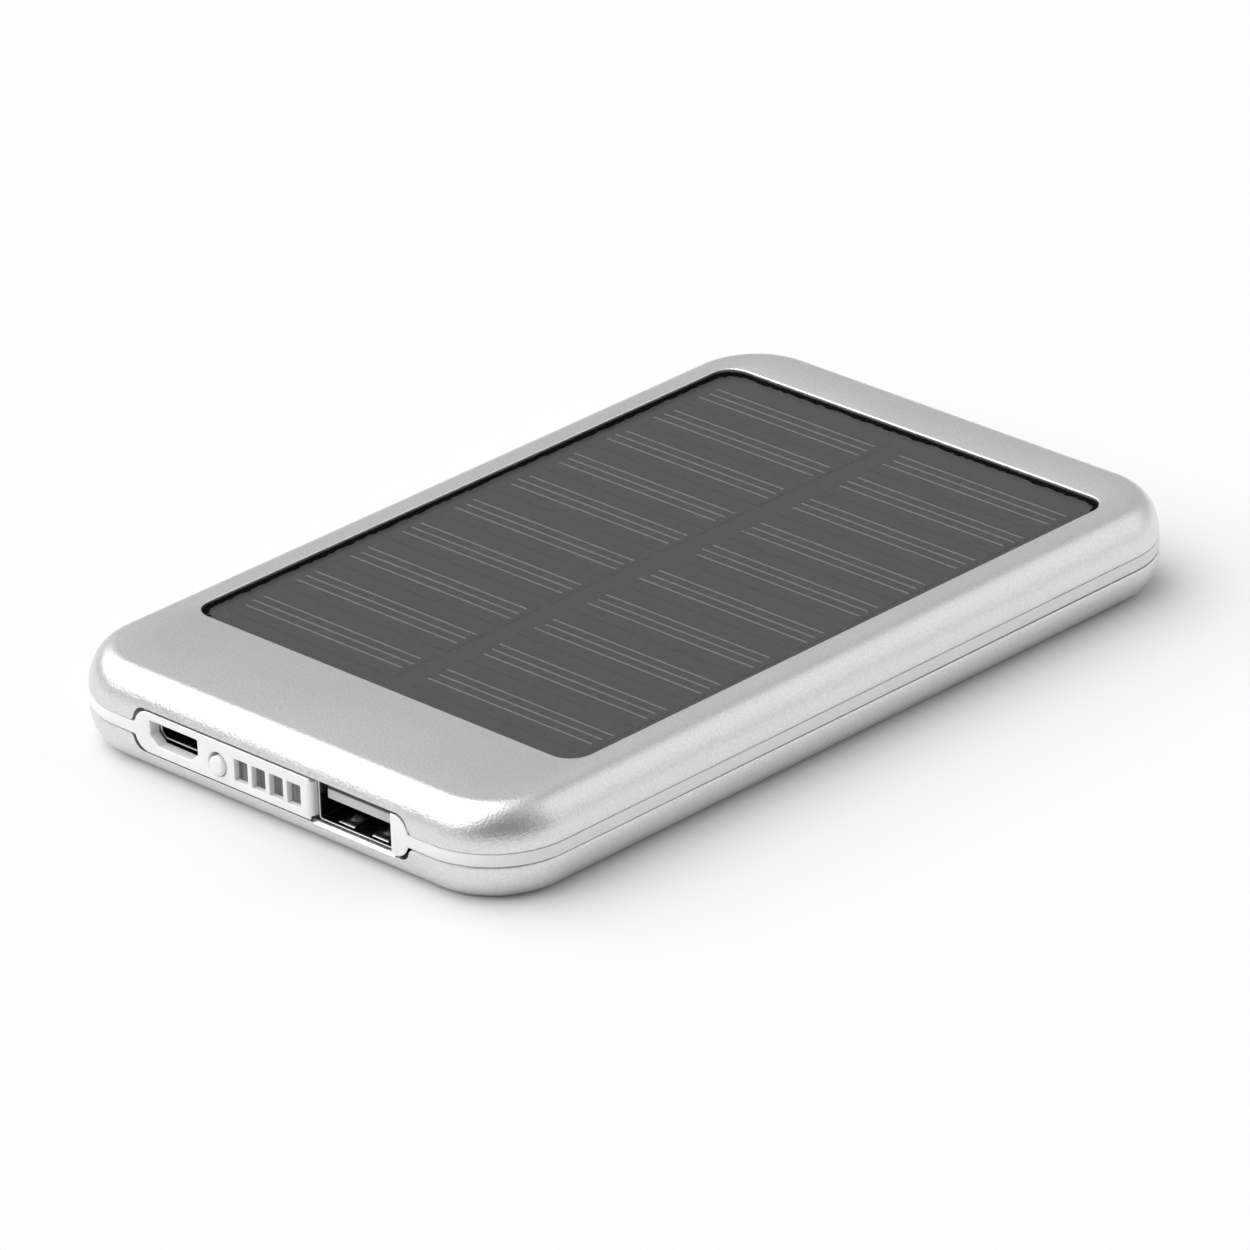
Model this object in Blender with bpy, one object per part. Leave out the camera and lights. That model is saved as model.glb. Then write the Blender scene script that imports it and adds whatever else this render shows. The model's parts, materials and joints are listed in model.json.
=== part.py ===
"""Solar phone charger: a slim power bank with a solar panel under a silver top cover.

Sizes below are in millimetres and the mesh builders turn them into metres. X is the
width, Y the length with the port face at -Y, Z is up from the flat underside. The
origin is the middle of that underside.
"""

from math import cos, pi, radians, sin

import bmesh
import bpy
from mathutils import Vector

MM = 0.001

# Case
BODY_W = 72.8
BODY_L = 118.3
BODY_T = 11.7
PLAN_R = 10.6
CORNER_STEPS = 9
EDGE_STEPS = 7
TOP_ROUND = (3.5, 5.0)
BOTTOM_ROUND = (3.2, 4.3)
WALL = 1.4
SKIN = 1.3
BAND_LOW = 4.85
BAND_HIGH = 6.42
PARTING_GAP = 0.05
EDGE_BREAK = 0.14
TOP_INSIDE = (3.2, 6.55)
BOTTOM_INSIDE = (4.2, 4.6)
LIP_INSET = (1.8, 2.8)
LIP_Z = (3.4, 7.9)
SNAP_Y = (-30.0, 8.0, 44.0)
SNAP_BEAD_X = (BODY_W / 2 - 2.05, BODY_W / 2 - 1.1)
SNAP_BEAD_L = 8.0
SNAP_RECESS_X = (BODY_W / 2 - 2.3, BODY_W / 2 - 1.7)
SNAP_RECESS_L = 8.6

# Solar window and the panel under it
WINDOW_W = 62.1
WINDOW_L = 91.2
WINDOW_Y = 4.07
WINDOW_R = 3.0
WINDOW_CHAMFER = 0.18
WINDOW_LIP = 0.5
PANEL_W = 65.0
PANEL_L = 94.2
PANEL_R = 2.5
PANEL_SLACK = 0.25
FILM_T = 0.2
CELL_T = 0.18
PANEL_BOARD_T = 0.8
STACK_GAP = 0.02
CELL_W = 27.6
CELL_GAP = 2.9
CELL_L = 7.6
CELL_PITCH = 8.57
# The strips are laid by hand, so each row sits a little off its even pitch.
ROW_NUDGE = (0.0, -0.7, -1.1, -0.95, -1.35, -0.8, -0.55, -0.3, -0.15, 0.0)

# Port face, measured in X from the middle and in Z from the underside
FRONT = -BODY_L / 2
PORT_MIDDLE = -0.08
PLATE_HALF = 22.3
PLATE_Z = (3.15, 8.31)
PLATE_R = 2.3
PLATE_DEPTH = LIP_INSET[1]
EDGE_BREAK_PLATE = 0.12
NOTCH_HALF = 22.4
NOTCH_Z = (2.95, 8.5)
NOTCH_R = 1.5
NOTCH_R_BY_USB = 2.1
NOTCH_FLARE = 0.8
NOTCH_DEPTH = 3.2

USB_X = 13.35
USB_SHELL = (13.1, 5.64)
USB_SHELL_Z = 3.02
USB_SHELL_T = 0.3
USB_SETBACK = 1.05
USB_DEPTH = 14.0
USB_CUT = (6.7, 19.4)
USB_FILLET = 0.75
USB_CORNER_R = 0.45
USB_RELIEF_Z = 8.9
SILL_X = (6.4, 19.8)
SILL_TOP = 3.09
SILL_FLOOR = 2.85
SILL_SLOPE = 0.69
SILL_CREST = (0.65, 0.88)
TONGUE_W = 11.1
TONGUE_Z = (5.83, 7.67)
TONGUE_SETBACK = 1.6
SPRING_X = 2.9
USB_CONTACTS = (-3.5, -1.0, 1.0, 3.5)

MICRO_X = -15.83
MICRO_Z = 6.055
MICRO_SHELL = (7.5, 2.45)
MICRO_SHELL_T = 0.25
MICRO_SETBACK = 1.5
MICRO_DEPTH = 5.0
MICRO_MOUTH = (3.92, 7.32, 4.4, 1.3, 1.05)
MICRO_POCKET = (4.2, 3.6, 7.6)

BUTTON_X = -8.6
BUTTON_Z = 5.35
BUTTON_R = 1.22
BUTTON_HOLE_R = 1.5
FLANGE_R = 1.9
STEM_R = 0.65
BUTTON_PROUD = 0.5

LED_COUNT = 4
LED_PITCH = 2.88
LED_MIDDLE = -0.42
LED_SLOT = (2.17, 2.78)
LED_Z = 5.58
LED_SETBACK = 0.7

# Inside
BOARD_Z = (3.65, 4.65)
BOARD_Y = (FRONT + 4.0, -41.0)
BOARD_HALF = 30.0
MOUNT_GAP = 0.03
SCREW_SPOTS = ((-27.0, -46.5), (27.0, -46.5))
CELL_PACK = (60.0, 88.0, 6.0)
CELL_PACK_Y = 6.0
RIB_Y = (-36.6, 51.4)
RIB_TOP = 3.2

MATERIALS = {
    "silver_paint": ((0.72, 0.72, 0.73), 0.36, 0.75),
    "frame_plastic": ((0.86, 0.86, 0.86), 0.42, 0.0),
    "solar_film": ((0.10, 0.10, 0.11), 0.30, 0.0),
    "solar_cell": ((0.07, 0.07, 0.08), 0.45, 0.0),
    "black_board": ((0.05, 0.05, 0.05), 0.60, 0.0),
    "adhesive": ((0.12, 0.12, 0.12), 0.80, 0.0),
    "pouch_foil": ((0.66, 0.67, 0.69), 0.40, 0.8),
    "green_board": ((0.04, 0.22, 0.10), 0.50, 0.0),
    "steel": ((0.70, 0.70, 0.71), 0.28, 1.0),
    "connector_plastic": ((0.80, 0.80, 0.80), 0.50, 0.0),
    "gold_contact": ((0.83, 0.66, 0.33), 0.30, 1.0),
    "lens_plastic": ((0.35, 0.35, 0.36), 0.30, 0.0),
    "led_body": ((0.90, 0.90, 0.82), 0.40, 0.0),
    "black_plastic": ((0.03, 0.03, 0.03), 0.50, 0.0),
    "ferrite": ((0.18, 0.18, 0.19), 0.70, 0.0),
    "tantalum": ((0.72, 0.46, 0.12), 0.50, 0.0),
    "red_wire": ((0.60, 0.04, 0.04), 0.45, 0.0),
    "black_wire": ((0.02, 0.02, 0.02), 0.45, 0.0),
}


def clear_scene():
    for thing in list(bpy.data.objects):
        bpy.data.objects.remove(thing, do_unlink=True)


def material(name):
    if name in bpy.data.materials:
        return bpy.data.materials[name]
    colour, roughness, metallic = MATERIALS[name]
    made = bpy.data.materials.new(name)
    made.use_nodes = True
    shader = made.node_tree.nodes["Principled BSDF"]
    shader.inputs["Base Color"].default_value = (*colour, 1.0)
    shader.inputs["Roughness"].default_value = roughness
    shader.inputs["Metallic"].default_value = metallic
    return made


def object_from(name, bm, finish):
    """Turn a bmesh in metres into a named object with its faces pointing out."""
    bmesh.ops.recalc_face_normals(bm, faces=bm.faces)
    mesh = bpy.data.meshes.new(name)
    bm.to_mesh(mesh)
    bm.free()
    mesh.materials.append(material(finish))
    mesh.shade_smooth()
    mesh.set_sharp_from_angle(angle=radians(32))
    made = bpy.data.objects.new(name, mesh)
    bpy.context.collection.objects.link(made)
    return made


def combine(target, tool, operation):
    """Cut, join or intersect the target with a tool body, then drop the tool."""
    step = target.modifiers.new("combine", "BOOLEAN")
    step.operation = operation
    step.object = tool
    step.solver = "EXACT"
    bpy.context.view_layer.update()
    graph = bpy.context.evaluated_depsgraph_get()
    result = bpy.data.meshes.new_from_object(target.evaluated_get(graph))
    target.modifiers.remove(step)
    old = target.data
    result.name = old.name
    target.data = result
    bpy.data.meshes.remove(old)
    bpy.data.objects.remove(tool, do_unlink=True)


def cut(target, tool):
    combine(target, tool, "DIFFERENCE")


def join(target, tool):
    combine(target, tool, "UNION")


def rounded(half_u, half_v, radius, centre=(0.0, 0.0), steps=4):
    """A rounded rectangle in a plane, anticlockwise."""
    points = []
    for sign_u, sign_v, start in ((1, 1, 0), (-1, 1, 90), (-1, -1, 180), (1, -1, 270)):
        middle_u = centre[0] + sign_u * (half_u - radius)
        middle_v = centre[1] + sign_v * (half_v - radius)
        for k in range(steps + 1):
            turn = radians(start + 90 * k / steps)
            points.append((middle_u + radius * cos(turn), middle_v + radius * sin(turn)))
    return points


def circle(radius, centre=(0.0, 0.0), sides=20):
    return [(centre[0] + radius * cos(2 * pi * k / sides),
             centre[1] + radius * sin(2 * pi * k / sides)) for k in range(sides)]


def place(outline, axis, level):
    """Stand a flat outline across an axis: (x, y) on z, (x, z) on y, (y, z) on x."""
    if axis == "z":
        return [Vector((u, v, level)) for u, v in outline]
    if axis == "y":
        return [Vector((u, level, v)) for u, v in outline]
    return [Vector((level, u, v)) for u, v in outline]


def loft(name, rings, finish, closed=False):
    """Skin matching rings in order; a closed loft joins its last ring to its first."""
    bm = bmesh.new()
    rows = [[bm.verts.new(point * MM) for point in ring] for ring in rings]
    pairs = list(zip(rows, rows[1:]))
    if closed:
        pairs.append((rows[-1], rows[0]))
    else:
        bm.faces.new(rows[0])
        bm.faces.new(rows[-1])
    for near, far in pairs:
        for k, corner in enumerate(near):
            after = (k + 1) % len(near)
            bm.faces.new((corner, near[after], far[after], far[k]))
    return object_from(name, bm, finish)


def prism(name, outline, axis, low, high, finish):
    return loft(name, [place(outline, axis, low), place(outline, axis, high)], finish)


def block(name, low, high, finish, bevel=0.0):
    """A box between two corners, with its edges broken where bevel is given."""
    bm = bmesh.new()
    bmesh.ops.create_cube(bm, size=1.0)
    for vertex in bm.verts:
        vertex.co = Vector([(low[k] + (vertex.co[k] + 0.5) * (high[k] - low[k])) * MM for k in range(3)])
    if bevel:
        bmesh.ops.bevel(bm, geom=bm.edges[:], offset=bevel * MM, segments=1, affect="EDGES")
    return object_from(name, bm, finish)


def turned(name, profile, centre, axis, finish, sides=24):
    """A round piece from (level, radius) pairs along an axis."""
    rings = [place(circle(radius, centre, sides), axis, level) for level, radius in profile]
    return loft(name, rings, finish)


def tube(name, points, radius, finish):
    """A round lead through the points, with closed ends."""
    curve = bpy.data.curves.new(name, "CURVE")
    curve.dimensions = "3D"
    curve.bevel_depth = radius * MM
    curve.bevel_resolution = 2
    curve.use_fill_caps = True
    spline = curve.splines.new("POLY")
    spline.points.add(len(points) - 1)
    for slot, point in zip(spline.points, points):
        slot.co = (*(Vector(point) * MM), 1.0)
    curve.materials.append(material(finish))
    made = bpy.data.objects.new(name, curve)
    bpy.context.collection.objects.link(made)
    return made


def smooth_path(points, count):
    """Points along one smooth Catmull-Rom curve through the given ones."""
    knots = [Vector(p) for p in points]
    knots = [2 * knots[0] - knots[1]] + knots + [2 * knots[-1] - knots[-2]]
    path = []
    spans = len(knots) - 3
    for k in range(count + 1):
        along = spans * k / count
        first = min(int(along), spans - 1)
        t = along - first
        a, b, c, d = knots[first:first + 4]
        path.append(0.5 * (2 * b + (c - a) * t + (2 * a - 5 * b + 4 * c - d) * t * t
                           + (3 * b - a - 3 * c + d) * t ** 3))
    return path


def case_ring(inset, z):
    """The case's plan outline, drawn in by an inset, at a height."""
    outline = rounded(BODY_W / 2 - inset, BODY_L / 2 - inset, PLAN_R - inset, steps=CORNER_STEPS)
    return place(outline, "z", z)


def window_ring(half_x, half_y, radius, z):
    outline = rounded(half_x, half_y, radius, (0.0, WINDOW_Y), CORNER_STEPS)
    return place(outline, "z", z)


def quarter(inset_span, z_span, steps):
    """Insets and heights along a quarter ellipse, from its upright end to its flat end."""
    start, end = inset_span
    base, tip = z_span
    return [(start + (end - start) * (1 - cos(pi / 2 * k / steps)),
             base + (tip - base) * sin(pi / 2 * k / steps)) for k in range(steps + 1)]


def notch_outline(parting, end, away):
    """The port notch in one cover: flared where it meets the parting line, with rounded far corners.

    end is the far edge of the notch in Z and away is a level beyond the parting line.
    """
    side = 1 if end > parting else -1
    turns = [pi / 2 * k / 4 for k in range(5)]

    def half(radius):
        flare = [(NOTCH_HALF + NOTCH_FLARE * (1 - sin(turn)),
                  parting + side * NOTCH_FLARE * (1 - cos(turn))) for turn in turns]
        corner = [(NOTCH_HALF - radius * (1 - cos(turn)),
                   end - side * radius * (1 - sin(turn))) for turn in turns]
        return [(NOTCH_HALF + NOTCH_FLARE, away)] + flare + corner

    outline = [(PORT_MIDDLE + x, z) for x, z in half(NOTCH_R_BY_USB if side > 0 else NOTCH_R)]
    if side < 0:
        left, right = SILL_X
        outline += [(right, end), (right, SILL_TOP + 0.2), (left, SILL_TOP + 0.2), (left, end)]
    return outline + [(PORT_MIDDLE - x, z) for x, z in reversed(half(NOTCH_R))]


def port_notch(parting, end, away):
    outline = notch_outline(parting, end, away)
    return prism("notch_tool", outline, "y", FRONT - 2, FRONT + NOTCH_DEPTH, "steel")


def sill_tool():
    """What the cover loses over the sill below the USB-A mouth: a slope up to a narrow crest."""
    near, far = SILL_CREST
    start = -1.0
    line = [(start, SILL_TOP - SILL_SLOPE * (near - start)), (near, SILL_TOP), (far, SILL_TOP),
            (far + 0.08, SILL_FLOOR), (NOTCH_DEPTH, SILL_FLOOR), (NOTCH_DEPTH, BAND_LOW),
            (start, BAND_LOW)]
    side = [(FRONT + depth, z) for depth, z in line]
    return prism("sill_tool", side, "x", *SILL_X, "steel")


def snap_beads(target, z_low, z_high, inner, outer, length, mode):
    """Six small beads or their recesses along the two long walls."""
    for side in (-1, 1):
        for y in SNAP_Y:
            ends = sorted((side * inner, side * outer))
            bead = block("bead_tool", (ends[0], y - length / 2, z_low),
                         (ends[1], y + length / 2, z_high), "steel")
            mode(target, bead)


def top_cover():
    rim = BAND_HIGH + PARTING_GAP
    outer = [(EDGE_BREAK, rim), (0.0, rim + EDGE_BREAK)]
    outer += quarter((0.0, TOP_ROUND[0]), (BODY_T - TOP_ROUND[1], BODY_T), EDGE_STEPS)
    ceiling = BODY_T - SKIN
    lip = BODY_T - WINDOW_LIP
    inner = [(WALL, rim)] + quarter((WALL, TOP_INSIDE[0]), (TOP_INSIDE[1], ceiling), 4)
    window = (WINDOW_W / 2, WINDOW_L / 2, WINDOW_R)
    panel = (PANEL_W / 2, PANEL_L / 2, PANEL_R)
    rings = [case_ring(inset, z) for inset, z in outer]
    for opening, grown, z in ((window, WINDOW_CHAMFER, BODY_T), (window, 0.0, BODY_T - WINDOW_CHAMFER),
                              (window, 0.0, lip), (panel, PANEL_SLACK, lip), (panel, PANEL_SLACK, ceiling)):
        rings.append(window_ring(*[size + grown for size in opening], z))
    rings += [case_ring(inset, z) for inset, z in reversed(inner)]
    cover = loft("top_cover", rings, "silver_paint", closed=True)
    cut(cover, port_notch(rim, NOTCH_Z[1], rim - 3))
    clear = USB_SHELL[0] / 2 + 0.2
    cut(cover, block("relief_tool", (USB_X - clear, FRONT + 0.85, rim + 1),
                     (USB_X + clear, FRONT + NOTCH_DEPTH, USB_RELIEF_Z), "steel"))
    snap_beads(cover, 7.05, 7.55, *SNAP_BEAD_X, SNAP_BEAD_L, join)
    return cover


def bottom_cover():
    rim = BAND_LOW - PARTING_GAP
    outer = [(EDGE_BREAK, rim), (0.0, rim - EDGE_BREAK)]
    outer += quarter((0.0, BOTTOM_ROUND[0]), (BOTTOM_ROUND[1], 0.0), EDGE_STEPS)
    inner = [(WALL, rim)] + quarter((WALL, BOTTOM_INSIDE[0]), (BOTTOM_INSIDE[1], SKIN), 4)
    rings = [case_ring(inset, z) for inset, z in reversed(inner)]
    rings += [case_ring(inset, z) for inset, z in outer]
    cover = loft("bottom_cover", rings, "silver_paint")
    cut(cover, port_notch(rim, NOTCH_Z[0], rim + 3))
    cut(cover, sill_tool())
    snap_beads(cover, 3.85, 4.35, *SNAP_BEAD_X, SNAP_BEAD_L, join)
    rooted = SKIN - 0.4
    for spot in SCREW_SPOTS:
        join(cover, prism("boss_tool", circle(2.1, spot), "z", rooted, BOARD_Z[0] - MOUNT_GAP, "steel"))
        cut(cover, prism("pilot_tool", circle(0.9, spot, 14), "z", SKIN + 0.2, BOARD_Z[0] + 1, "steel"))
    for y in RIB_Y:
        for x in (-18.0, 18.0):
            join(cover, block("rib_tool", (x - 6, y - 0.5, rooted), (x + 6, y + 0.5, RIB_TOP), "steel"))
    return cover


def micro_outline(half_w, top, bottom, chamfer_w, chamfer_h):
    """A micro-B mouth: flat top and two cut lower corners, around the port's middle."""
    return [(MICRO_X + half_w, top), (MICRO_X - half_w, top), (MICRO_X - half_w, bottom + chamfer_h),
            (MICRO_X - half_w + chamfer_w, bottom), (MICRO_X + half_w - chamfer_w, bottom),
            (MICRO_X + half_w, bottom + chamfer_h)]


def led_middles():
    return [LED_MIDDLE + LED_PITCH * (k - (LED_COUNT - 1) / 2) for k in range(LED_COUNT)]


def port_plate():
    """The plate that fills the port notch, with a fine chamfer round its front face."""
    half_z = (PLATE_Z[1] - PLATE_Z[0]) / 2
    centre = (PORT_MIDDLE, sum(PLATE_Z) / 2)
    rings = []
    for edge, y in ((EDGE_BREAK_PLATE, FRONT), (0.0, FRONT + EDGE_BREAK_PLATE), (0.0, FRONT + PLATE_DEPTH)):
        outline = rounded(PLATE_HALF - edge, half_z - edge, PLATE_R - edge, centre, 6)
        rings.append(place(outline, "y", y))
    return loft("plate_tool", rings, "steel")


def usb_cut_tool():
    """The opening for the USB-A shell: a rounded shoulder on its left, a step on its right."""
    left, right = USB_CUT
    step = FRONT + 0.9
    behind = FRONT + 4
    shoulder = USB_X + USB_SHELL[0] / 2 + 0.15
    plan = [(right, FRONT - 1), (right, step), (shoulder, step), (shoulder, behind), (left, behind)]
    turns = [pi / 2 * k / 5 for k in range(6)]
    plan += [(left - USB_FILLET * (1 - cos(turn)), FRONT + USB_FILLET * (1 - sin(turn))) for turn in turns]
    plan.append((left - USB_FILLET, FRONT - 1))
    return prism("usb_tool", plan, "z", 1.0, 10.5, "steel")


def mid_frame():
    """The band between the covers, its inner lip and the port plate, all one moulding."""
    low, high = BAND_LOW, BAND_HIGH
    lip_out, lip_in = LIP_INSET
    section = [(EDGE_BREAK, low), (0.0, low + EDGE_BREAK), (0.0, high - EDGE_BREAK), (EDGE_BREAK, high),
               (lip_out, high), (lip_out, LIP_Z[1]), (lip_in, LIP_Z[1]), (lip_in, LIP_Z[0]),
               (lip_out, LIP_Z[0]), (lip_out, low)]
    rings = [case_ring(inset, z) for inset, z in section]
    frame = loft("mid_frame", rings, "frame_plastic", closed=True)
    join(frame, port_plate())

    ahead, behind = FRONT - 1, FRONT + 4
    cut(frame, prism("recess_tool", micro_outline(*MICRO_MOUTH), "y", ahead, behind, "steel"))
    reach, floor, ceiling = MICRO_POCKET
    cut(frame, block("pocket_tool", (MICRO_X - reach, FRONT + MICRO_SETBACK - 0.1, floor),
                     (MICRO_X + reach, behind, ceiling), "steel"))
    button_hole = circle(BUTTON_HOLE_R, (BUTTON_X, BUTTON_Z), 28)
    cut(frame, prism("hole_tool", button_hole, "y", ahead, behind, "steel"))
    for x in led_middles():
        slot = rounded(LED_SLOT[0] / 2, LED_SLOT[1] / 2, 0.12, (x, LED_Z), 1)
        cut(frame, prism("slot_tool", slot, "y", ahead, behind, "steel"))
    cut(frame, usb_cut_tool())

    snap_beads(frame, 6.85, 7.75, *SNAP_RECESS_X, SNAP_RECESS_L, cut)
    snap_beads(frame, 3.65, 4.55, *SNAP_RECESS_X, SNAP_RECESS_L, cut)
    return frame


def panel_levels():
    """Heights of each layer under the window lip, from the top down."""
    tape_top = BODY_T - WINDOW_LIP - STACK_GAP
    tape_low = tape_top - 0.1
    film_top = tape_low - STACK_GAP
    film_low = film_top - FILM_T
    cell_top = film_low - STACK_GAP
    cell_low = cell_top - CELL_T
    board_top = cell_low - STACK_GAP
    return {"tape": (tape_low, tape_top), "film": (film_low, film_top), "cell": (cell_low, cell_top),
            "board": (board_top - PANEL_BOARD_T, board_top)}


def solar_panel():
    levels = panel_levels()
    sheet = rounded(PANEL_W / 2, PANEL_L / 2, PANEL_R, (0.0, WINDOW_Y), 4)
    prism("solar_board", sheet, "z", *levels["board"], "black_board")
    prism("solar_film", sheet, "z", *levels["film"], "solar_film")
    low, high = levels["tape"]
    hidden = 0.5
    inside = (WINDOW_W / 2 + hidden, WINDOW_L / 2 + hidden, WINDOW_R + hidden)
    outside = (PANEL_W / 2, PANEL_L / 2, PANEL_R)
    rings = [window_ring(*outside, low), window_ring(*outside, high), window_ring(*inside, high),
             window_ring(*inside, low)]
    loft("panel_tape", rings, "adhesive", closed=True)
    rows = len(ROW_NUDGE)
    for row, nudge in enumerate(ROW_NUDGE):
        y = WINDOW_Y + CELL_PITCH * ((rows - 1) / 2 - row) + 0.63 - nudge
        for side, name in ((-1, "left"), (1, "right")):
            x = side * (CELL_GAP + CELL_W) / 2
            block(f"solar_cell_{row + 1:02d}_{name}", (x - CELL_W / 2, y - CELL_L / 2, levels["cell"][0]),
                  (x + CELL_W / 2, y + CELL_L / 2, levels["cell"][1]), "solar_cell")


def battery():
    width, length, thick = CELL_PACK
    low_y = CELL_PACK_Y - length / 2
    high_y = CELL_PACK_Y + length / 2
    base = SKIN + 0.24
    block("battery_tape", (-22, low_y + 12, SKIN + MOUNT_GAP), (22, high_y - 12, base - MOUNT_GAP),
          "adhesive")
    top = base + thick
    flange = 3.2
    seam = 4.1
    body = low_y + flange
    side = [(body, base + 0.8), (body + 0.8, base), (high_y - 0.8, base), (high_y, base + 0.8),
            (high_y, top - 0.8), (high_y - 0.8, top), (body + 0.8, top), (body, top - 0.8),
            (body, seam + 0.3), (low_y, seam + 0.3), (low_y, seam - 0.3), (body, seam - 0.3)]
    ends = [(-width / 2, 0.9), (-width / 2 + 1.0, 1.0), (width / 2 - 1.0, 1.0), (width / 2, 0.9)]
    middle = (base + top) / 2
    rings = []
    for x, squeeze in ends:
        rings.append([Vector((x, y, middle + (z - middle) * squeeze)) for y, z in side])
    loft("battery_pouch", rings, "pouch_foil")
    block("protection_board", (-16, low_y + 0.3, seam + 0.45), (16, body - 0.35, seam + 1.25),
          "green_board")


def main_board():
    low, high = BOARD_Z
    front, back = BOARD_Y
    clip = 3.4
    shell_low = USB_X - USB_SHELL[0] / 2 - 0.2
    shell_high = USB_X + USB_SHELL[0] / 2 + 0.2
    shell_back = FRONT + USB_SETBACK + USB_DEPTH + 0.25
    outline = [(-BOARD_HALF, back), (-BOARD_HALF, front + clip), (-BOARD_HALF + clip, front),
               (shell_low, front), (shell_low, shell_back), (shell_high, shell_back), (shell_high, front),
               (BOARD_HALF - clip, front), (BOARD_HALF, front + clip), (BOARD_HALF, back)]
    board = prism("main_board", outline, "z", low, high, "green_board")
    for spot in SCREW_SPOTS:
        cut(board, prism("hole_tool", circle(1.1, spot, 16), "z", low - 1, high + 1, "steel"))
        x, y = spot
        name = "board_screw_left" if x < 0 else "board_screw_right"
        screw = turned(name, [(SKIN + 0.35, 0.55), (SKIN + 0.75, 0.8), (high + MOUNT_GAP, 0.8),
                              (high + MOUNT_GAP, 1.75), (high + 0.75, 1.65), (high + 1.15, 1.1)],
                       spot, "z", "steel", 16)
        for turn in (0, 1):
            span = (0.75, 0.18) if turn else (0.18, 0.75)
            cut(screw, block("driver_tool", (x - span[0], y - span[1], high + 0.6),
                             (x + span[0], y + span[1], high + 2), "steel"))
    on = high + MOUNT_GAP
    block("boost_inductor", (-21.5, -49.5, on), (-15.3, -43.3, on + 3.0), "ferrite", 0.6)
    block("boost_chip", (-12.5, -49.0, on), (-7.5, -45.0, on + 1.5), "black_plastic", 0.2)
    block("charge_chip", (-4.5, -49.0, on), (0.5, -45.0, on + 1.5), "black_plastic", 0.2)
    block("rectifier_diode", (21.4, -53.4, on), (25.9, -50.8, on + 2.1), "black_plastic", 0.2)
    block("input_capacitor", (-24.2, -53.6, on), (-20.7, -50.8, on + 1.9), "tantalum", 0.2)
    block("output_capacitor", (1.7, -52.9, on), (5.2, -50.1, on + 1.9), "tantalum", 0.2)


def usb_a():
    width, height = USB_SHELL
    middle_z = USB_SHELL_Z + height / 2
    front = FRONT + USB_SETBACK
    back = front + USB_DEPTH
    centre = (USB_X, middle_z)
    wall = USB_SHELL_T
    outline = rounded(width / 2, height / 2, USB_CORNER_R, centre, 3)
    shell = prism("usb_a_shell", outline, "y", front, back, "steel")
    bore = rounded(width / 2 - wall, height / 2 - wall, USB_CORNER_R - 0.2, centre, 3)
    cut(shell, prism("bore_tool", bore, "y", front - 1, back - wall, "steel"))
    under, over = USB_SHELL_Z - 1, USB_SHELL_Z + 1
    edge, free, end = front + 1.35, front + 1.6, front + 6.2
    for x in (USB_X - SPRING_X, USB_X + SPRING_X):
        for near, far in ((x - 1.35, x - 1.1), (x + 1.1, x + 1.35)):
            cut(shell, block("slit_tool", (near, free, under), (far, end, over), "steel"))
        cut(shell, block("slit_tool", (x - 1.35, edge, under), (x + 1.35, free, over), "steel"))
    low, high = TONGUE_Z
    nose = FRONT + TONGUE_SETBACK
    root = back - wall - 0.05
    foot = root - 3.0
    foot_low = USB_SHELL_Z + wall + 0.05
    foot_high = USB_SHELL_Z + height - wall - 0.05
    ramp = 0.85
    side = [(nose, low + 0.1), (nose + 0.1, low), (foot, low), (foot, foot_low), (root, foot_low),
            (root, foot_high), (foot, foot_high), (foot, high), (nose + ramp, high), (nose, high - ramp)]
    half = TONGUE_W / 2
    tongue = prism("usb_a_tongue", side, "x", USB_X - half, USB_X + half, "connector_plastic")
    for spot in USB_CONTACTS:
        x = USB_X + spot
        cut(tongue, block("groove_tool", (x - 0.6, nose + 0.8, low - 0.5), (x + 0.6, foot, low + 0.32),
                          "steel"))
    for number, spot in enumerate(USB_CONTACTS, 1):
        x = USB_X + spot
        start = nose + 0.95
        strip = [(start, low + 0.08), (start, low + 0.28), (root - 3.2, low + 0.28), (root - 3.2, low + 0.08),
                 (start + 5.6, low + 0.08), (start + 4.4, low - 0.3), (start + 2.6, low - 0.3)]
        prism(f"usb_a_contact_{number}", strip, "x", x - 0.5, x + 0.5, "gold_contact")


def micro_usb():
    width, height = MICRO_SHELL
    top = MICRO_Z + height / 2
    bottom = MICRO_Z - height / 2
    front = FRONT + MICRO_SETBACK
    back = front + MICRO_DEPTH
    wall = MICRO_SHELL_T
    outline = micro_outline(width / 2, top, bottom, 0.95, 0.95)
    shell = prism("micro_usb_shell", outline, "y", front, back, "steel")
    bore = micro_outline(width / 2 - wall, top - wall, bottom + wall, 0.82, 0.82)
    cut(shell, prism("bore_tool", bore, "y", front - 1, back - wall, "steel"))
    root = back - wall - 0.05
    middle = MICRO_Z + 0.12
    nose, foot = front + 0.7, root - 1.2
    foot_low, foot_high = bottom + wall + 0.05, top - wall - 0.05
    side = [(nose, middle - 0.3), (foot, middle - 0.3), (foot, foot_low), (root, foot_low),
            (root, foot_high), (foot, foot_high), (foot, middle + 0.3), (nose, middle + 0.3)]
    prism("micro_usb_tongue", side, "x", MICRO_X - 1.85, MICRO_X + 1.85, "black_plastic")


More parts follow.
